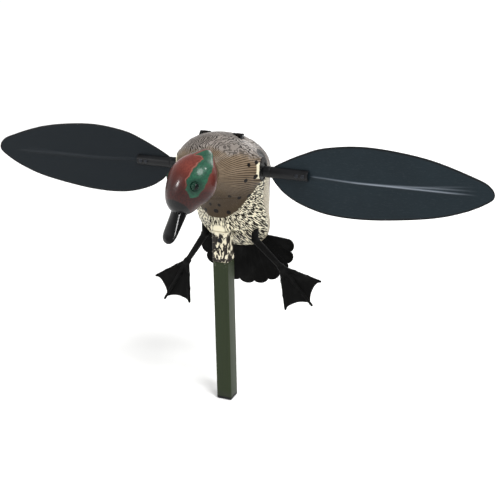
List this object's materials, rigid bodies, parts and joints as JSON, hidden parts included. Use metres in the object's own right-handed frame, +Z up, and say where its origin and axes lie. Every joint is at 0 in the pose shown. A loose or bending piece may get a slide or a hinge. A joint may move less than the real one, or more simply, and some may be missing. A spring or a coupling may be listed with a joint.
{
  "type": "motorised spinning-wing duck decoy",
  "caption": "Duck-shaped field decoy with motor-driven spinning wings, webbed feet and a fan tail, standing on a square pole section.",
  "frame": {"origin": "centre of the pole section's bottom end, where it fits on the next section or stake", "axes": "+Z up along the pole, the wing axle along X, the duck faces -Y and its left is +X"},
  "size_m": [0.6, 0.204, 0.331],
  "materials": {
    "pole_paint": "semi-gloss olive paint",
    "black_plastic": "fine moulded texture",
    "belly_cream": "satin painted plastic with dark vermiculation",
    "back_brown": "satin painted plastic with feather edging",
    "head_paint": "glossy chestnut and green paint",
    "gloss_black": "high gloss",
    "soft_rubber": "matt soft rubber",
    "wing_paint": "matt slate paint",
    "steel": "plated steel",
    "brass": "machined brass",
    "copper_winding": "varnished copper wire",
    "lead_insulation": "smooth lead insulation",
    "cell_sleeve": "printed shrink sleeve"
  },
  "bodies": {
    "pole": {"pole_tube": "pole_paint", "pole_end_bush": "black_plastic"},
    "decoy": {"pole_stem": "belly_cream", "stem_screw": "steel", "breast_shell": "belly_cream", "back_shell": "back_brown", "shell_screw_1": "steel", "shell_screw_2": "steel", "shell_screw_3": "steel", "shell_screw_4": "steel", "hatch_hinge_left": "black_plastic", "hatch_hinge_right": "black_plastic", "hatch_pin_left": "steel", "hatch_pin_right": "steel", "head_shell": "head_paint", "bill": "gloss_black", "eye_left": "gloss_black", "eye_right": "gloss_black", "tail_fan": "soft_rubber", "tail_screw_left": "steel", "tail_screw_right": "steel", "chassis": "black_plastic", "motor_can": "steel", "motor_cap_left": "black_plastic", "motor_cap_right": "black_plastic", "motor_strap": "steel", "strap_screw_1": "steel", "strap_screw_2": "steel", "axle_bush_left": "black_plastic", "axle_bush_right": "black_plastic", "battery_box": "black_plastic", "battery_cell_1": "cell_sleeve", "battery_cell_2": "cell_sleeve", "battery_cell_3": "cell_sleeve", "battery_cell_4": "cell_sleeve", "contact_plate_upper": "brass", "contact_plate_lower": "brass", "switch_body": "black_plastic", "motor_lead_left": "lead_insulation", "motor_lead_right": "lead_insulation", "switch_lead": "lead_insulation"},
    "rotor": {"drive_axle": "steel", "armature": "copper_winding", "axle_collar_left": "brass", "axle_collar_right": "brass"},
    "wing_left": {"wing_tube_left": "black_plastic", "wing_blade_left": "wing_paint", "wing_magnet_left": "steel", "wing_rivet_left_1": "steel", "wing_rivet_left_2": "steel"},
    "wing_right": {"wing_tube_right": "black_plastic", "wing_blade_right": "wing_paint", "wing_magnet_right": "steel", "wing_rivet_right_1": "steel", "wing_rivet_right_2": "steel"},
    "hatch": {"back_hatch": "back_brown"},
    "rocker": {"switch_rocker": "soft_rubber"},
    "left_leg": {"leg_left": "soft_rubber"},
    "right_leg": {"leg_right": "soft_rubber"}
  },
  "joints": [
    {"name": "body_lift", "type": "slide", "parent": "pole", "child": "decoy", "axis": [0, 0, 1], "range_m": [0, 0.045]},
    {"name": "axle_spin", "type": "hinge", "parent": "decoy", "child": "rotor", "pos_m": [0, 0, 0.288], "axis": [1, 0, 0], "continuous": true},
    {"name": "wing_left_pull", "type": "slide", "parent": "rotor", "child": "wing_left", "axis": [1, 0, 0], "range_m": [0, 0.03]},
    {"name": "wing_right_pull", "type": "slide", "parent": "rotor", "child": "wing_right", "axis": [-1, 0, 0], "range_m": [0, 0.03]},
    {"name": "hatch_swing", "type": "hinge", "parent": "decoy", "child": "hatch", "pos_m": [0, 0.005, 0.3244], "axis": [1, 0, 0], "range_deg": [0, 90]},
    {"name": "switch_rock", "type": "hinge", "parent": "decoy", "child": "rocker", "pos_m": [0, 0.08514, 0.2206], "axis": [1, 0, 0], "range_deg": [0, 16]},
    {"name": "leg_left_swivel", "type": "hinge", "parent": "decoy", "child": "left_leg", "pos_m": [0.0318, 0.0197, 0.2], "axis": [0, 0, 1], "range_deg": [-20, 20]},
    {"name": "leg_right_swivel", "type": "hinge", "parent": "decoy", "child": "right_leg", "pos_m": [-0.0318, 0.0197, 0.2], "axis": [0, 0, 1], "range_deg": [-20, 20]}
  ]
}
